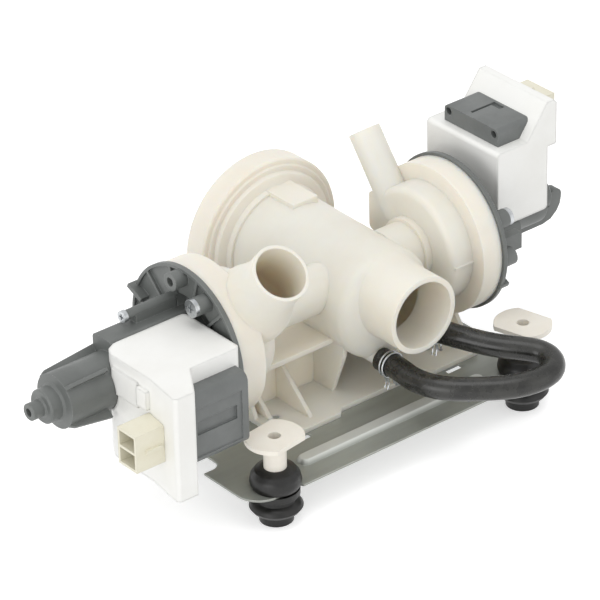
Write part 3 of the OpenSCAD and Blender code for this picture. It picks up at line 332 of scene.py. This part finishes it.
# The bushings stop the appliance's screws from crushing the rubber. They are natural
# nylon, a little paler than the housing, and let some light through at the thin rim.
bushing_nylon = made_material(
    "bushing_nylon", srgb(242, 237, 227), srgb(233, 227, 213), srgb(244, 241, 232), cloud_scale=60,
    cloud_share=0.5, grain_scale=600, grain_depth=0.00003, edge_radius=0.0005, edge_share=0.35,
    smooth=0.3, rough=0.46)
shader_of(bushing_nylon)["Subsurface Weight"].default_value = 0.06
shader_of(bushing_nylon)["Subsurface Radius"].default_value = (0.002, 0.0016, 0.001)
for corner in plate_corners:
    dress("bushing_" + corner, bushing_nylon)

# The pump housing is one large moulding of cream polypropylene: filter chamber, flange,
# inlet, both volutes with their outlets, the shelf, the ribs and the foot.
# Its skin is satin, with faint flow clouds, and light goes some way into the plastic.
housing_plastic = made_material(
    "housing_plastic", srgb(233, 228, 217), srgb(226, 219, 205), srgb(243, 240, 232), cloud_scale=24,
    cloud_share=0.6, grain_scale=520, grain_depth=0.00003, edge_radius=0.0009, edge_share=0.35,
    smooth=0.36, rough=0.52)
shader_of(housing_plastic)["Subsurface Weight"].default_value = 0.45
shader_of(housing_plastic)["Subsurface Radius"].default_value = (1, 0.72, 0.45)
shader_of(housing_plastic)["Subsurface Scale"].default_value = 0.009
dress("pump_housing", housing_plastic, limit=ribbed_limit)

# The filter basket is a slotted ivory cup that keeps lint and coins from both pumps.
# Its plastic is like that of the sockets, and stained a little by water.
basket_plastic = made_material(
    "basket_plastic", srgb(230, 225, 208), srgb(210, 200, 176), srgb(240, 237, 225), cloud_scale=40,
    cloud_share=0.7, grain_scale=600, grain_depth=0.00003, edge_radius=0.0005, edge_share=0.3,
    smooth=0.36, rough=0.55)
dress("filter_insert", basket_plastic, "filter_basket")

# The filter cap closes the flange. It is glass filled grey plastic with a bar grip, and
# turns by hand, so the grip's edges are rubbed pale.
cap_plastic = made_material(
    "cap_plastic", srgb(116, 118, 116), srgb(100, 102, 101), srgb(168, 170, 168), cloud_scale=50,
    cloud_share=0.6, grain_scale=700, grain_depth=0.00005, edge_radius=0.0008, edge_share=0.6,
    smooth=0.34, rough=0.52)
dress("filter_cap", cap_plastic, "filter_cap")

# Three ring seals sit in grooves: one on the filter cap and one on each motor's cover.
# They are black rubber rings, wet with grease.
seal_rubber = made_material(
    "seal_rubber", srgb(34, 34, 33), srgb(52, 52, 50), srgb(70, 70, 68), cloud_scale=120,
    cloud_share=0.4, grain_scale=800, grain_depth=0.00002, edge_radius=0.0003, edge_share=0.2,
    smooth=0.18, rough=0.36)
dress("filter_seal", seal_rubber, "filter_cap", ring_limit)
for motor in motors:
    dress(motor + "_cover_seal", seal_rubber, limit=ring_limit)

# Each motor's cover closes its pump and carries the motor: a ribbed dish with screw
# bosses, a shoulder under the coil and the finned can that the rotor turns in.
# It is glass filled grey plastic with a fine matt grain and paler arrises.
motor_plastic = made_material(
    "motor_plastic", srgb(107, 110, 108), srgb(94, 97, 95), srgb(152, 155, 153), cloud_scale=42,
    cloud_share=0.65, grain_scale=620, grain_depth=0.00005, edge_radius=0.0008, edge_share=0.55,
    smooth=0.34, rough=0.52)
for motor in motors:
    dress(motor + "_motor_cover", motor_plastic, limit=ribbed_limit)

# Pan head screws hold each cover on its pump, and one long screw on each motor ties the
# core to the cover. They have the same zinc coat as the screws below the plate.
for screws in ("_cover_screws", "_stator_screw"):
    for motor in motors:
        dress(motor + screws, screw_zinc)

# The cores are stacks of thin steel sheets, moulded round with a grey jacket.
# The jacket has the grey of the motor's cover and is a little glossier.
core_jacket = made_material(
    "core_jacket", srgb(108, 111, 110), srgb(95, 98, 97), srgb(150, 153, 152), cloud_scale=60,
    cloud_share=0.6, grain_scale=700, grain_depth=0.00004, edge_radius=0.0008, edge_share=0.5,
    smooth=0.32, rough=0.5)
for motor in motors:
    dress(motor + "_stator_core", core_jacket, limit=ribbed_limit)

# The windings are enamelled copper wire, wound in many layers round the core's arms.
# The wires run round the arm, so the sheen is broken into fine lines.
copper_wire = made_material(
    "copper_wire", srgb(186, 116, 66), srgb(150, 86, 46), srgb(212, 146, 92), metallic=1.0,
    stretch=(1, 0.04, 1), cloud_scale=900, cloud_share=0.7, grain_scale=1500, grain_depth=0.0001,
    edge_radius=0.0006, edge_share=0.3, smooth=0.22, rough=0.4)
for motor in motors:
    dress(motor + "_windings", copper_wire)

# The coil covers are white boxes over the windings, each in one moulding with the board
# that its socket stands on. The plastic is bright and smooth, with soft corners.
coil_plastic = made_material(
    "coil_plastic", srgb(241, 241, 238), srgb(232, 231, 226), srgb(250, 250, 248), cloud_scale=28,
    cloud_share=0.5, grain_scale=560, grain_depth=0.00002, edge_radius=0.0022, edge_share=0.2,
    smooth=0.3, rough=0.44)
for motor in motors:
    dress(motor + "_coil_cover", coil_plastic, limit=ribbed_limit)

# The sockets take the motor leads' plugs, each in two chambers. They are ivory nylon,
# yellower than the cover around them.
socket_nylon = made_material(
    "socket_nylon", srgb(229, 225, 206), srgb(218, 212, 188), srgb(241, 238, 224), cloud_scale=70,
    cloud_share=0.5, grain_scale=700, grain_depth=0.00003, edge_radius=0.0006, edge_share=0.35,
    smooth=0.32, rough=0.48)
for motor in motors:
    dress(motor + "_connector", socket_nylon)

# Two flat blades in each socket are stamped from tinned brass.
# They are dull silver, streaked by the plugs that slid over them.
blade_tin = made_material(
    "blade_tin", srgb(204, 202, 196), srgb(168, 166, 158), srgb(228, 226, 220), metallic=1.0,
    stretch=(0.2, 1, 1), cloud_scale=500, cloud_share=0.6, grain_scale=1500, grain_depth=0.00001,
    edge_radius=0.0002, edge_share=0.3, smooth=0.24, rough=0.42)
for motor in motors:
    dress(motor + "_terminals", blade_tin)

# Each rotor runs in two plain bushes, pressed from carbon filled plastic.
# They are nearly black, with the faint shine that graphite leaves.
bush_carbon = made_material(
    "bush_carbon", srgb(58, 58, 62), srgb(74, 74, 78), srgb(104, 104, 108), cloud_scale=160,
    cloud_share=0.6, grain_scale=1100, grain_depth=0.00003, edge_radius=0.0003, edge_share=0.4,
    smooth=0.28, rough=0.44)
for motor in motors:
    for bearing in ("_front_bearing", "_rear_bearing"):
        dress(motor + bearing, bush_carbon)

# The shafts are ground stainless steel pins that carry the magnet and the impeller.
# Grinding leaves fine rings round them.
shaft_steel = made_material(
    "shaft_steel", srgb(196, 198, 200), srgb(170, 172, 175), srgb(224, 225, 226), metallic=1.0,
    stretch=(1, 0.1, 0.1), cloud_scale=600, cloud_share=0.5, grain_scale=2200, grain_depth=0.00001,
    edge_radius=0.0002, edge_share=0.3, smooth=0.16, rough=0.3)
# The magnets are sintered ferrite rings, matt grey black with small chips on their edges.
ferrite = made_material(
    "ferrite", srgb(66, 66, 70), srgb(52, 52, 55), srgb(112, 112, 116), metallic=0.2, cloud_scale=110,
    cloud_share=0.7, grain_scale=900, grain_depth=0.00008, edge_radius=0.0006, edge_share=0.7,
    smooth=0.45, rough=0.68)
for motor in motors:
    dress(motor + "_shaft", shaft_steel, motor + "_rotor")
    dress(motor + "_magnet", ferrite, motor + "_rotor")

# The impellers throw the water outwards: straight blades in grey plastic on the drain
# pump, and seven curved blades in black plastic on the circulation pump.
impeller_black = made_material(
    "impeller_black", srgb(62, 62, 66), srgb(50, 50, 54), srgb(104, 104, 108), cloud_scale=80,
    cloud_share=0.6, grain_scale=800, grain_depth=0.00004, edge_radius=0.0005, edge_share=0.4,
    smooth=0.32, rough=0.5)
dress("drain_impeller", motor_plastic, "drain_rotor")
dress("circulation_impeller", impeller_black, "circulation_rotor")

# Floor and studio light: a matt floor that the camera sees as white paper, with the
# unit's soft shadow on it, in a pale room with three large lamps.
# One lamp hangs above, one stands in front and one low on the left.
floor_size = 12
floor_drop = 0.0002
floor_glow = 0.52
room_glow = 0.88
lamp_size = 1.3
lamp_aim = Vector((0, 0, 0.08))
bpy.ops.mesh.primitive_plane_add(size=floor_size, location=(0, 0, -floor_drop))
floor = bpy.context.object
floor.name = "floor"
floor_paper = bpy.data.materials.new("floor_paper")
floor_paper.use_nodes = True
floor_tree = floor_paper.node_tree
floor_tree.nodes.remove(floor_tree.nodes["Principled BSDF"])
paper = add_node(floor_tree, "ShaderNodeBsdfDiffuse")
paper.inputs["Color"].default_value = (0.8, 0.8, 0.8, 1)
glow = add_node(floor_tree, "ShaderNodeEmission")
glow.inputs["Color"].default_value = (1, 1, 1, 1)
glow.inputs["Strength"].default_value = floor_glow
seen_floor = add_node(floor_tree, "ShaderNodeAddShader")
floor_tree.links.new(paper.outputs[0], seen_floor.inputs[0])
floor_tree.links.new(glow.outputs[0], seen_floor.inputs[1])


def seen_share(tree):
    """1 for a ray that shows the background to the camera, directly or through a gloss."""
    path = add_node(tree, "ShaderNodeLightPath").outputs
    direct = joined(tree, "MAXIMUM", path["Is Camera Ray"], path["Is Glossy Ray"])
    return joined(tree, "MAXIMUM", direct, path["Is Transmission Ray"])


floor_mix = add_node(floor_tree, "ShaderNodeMixShader")
floor_tree.links.new(seen_share(floor_tree), floor_mix.inputs[0])
floor_tree.links.new(paper.outputs[0], floor_mix.inputs[1])
floor_tree.links.new(seen_floor.outputs[0], floor_mix.inputs[2])
floor_tree.links.new(floor_mix.outputs[0], floor_tree.nodes["Material Output"].inputs["Surface"])
floor.data.materials.append(floor_paper)

world = bpy.data.worlds.new("studio")
scene.world = world
world.use_nodes = True
world_tree = world.node_tree
room_light = world_tree.nodes["Background"].inputs
room_light["Color"].default_value = (1, 1, 1, 1)
world_tree.links.new(ranged(world_tree, seen_share(world_tree), 0, 1, room_glow, 1), room_light["Strength"])
for lamp_name, lamp_place, lamp_power in (
        ("top_lamp", (-0.3, -0.2, 2.3), 9), ("front_lamp", (0.7, -2.1, 0.7), 2.6),
        ("left_lamp", (-1.9, -0.7, 0.3), 12)):
    lamp_data = bpy.data.lights.new(lamp_name, "AREA")
    lamp_data.size = lamp_size
    lamp_data.energy = lamp_power
    lamp = bpy.data.objects.new(lamp_name, lamp_data)
    scene.collection.objects.link(lamp)
    lamp_turn = (lamp_aim - Vector(lamp_place)).to_track_quat("-Z", "Y").to_matrix()
    lamp.matrix_world = Matrix.Translation(lamp_place) @ lamp_turn.to_4x4()

scene.view_settings.view_transform = "Standard"
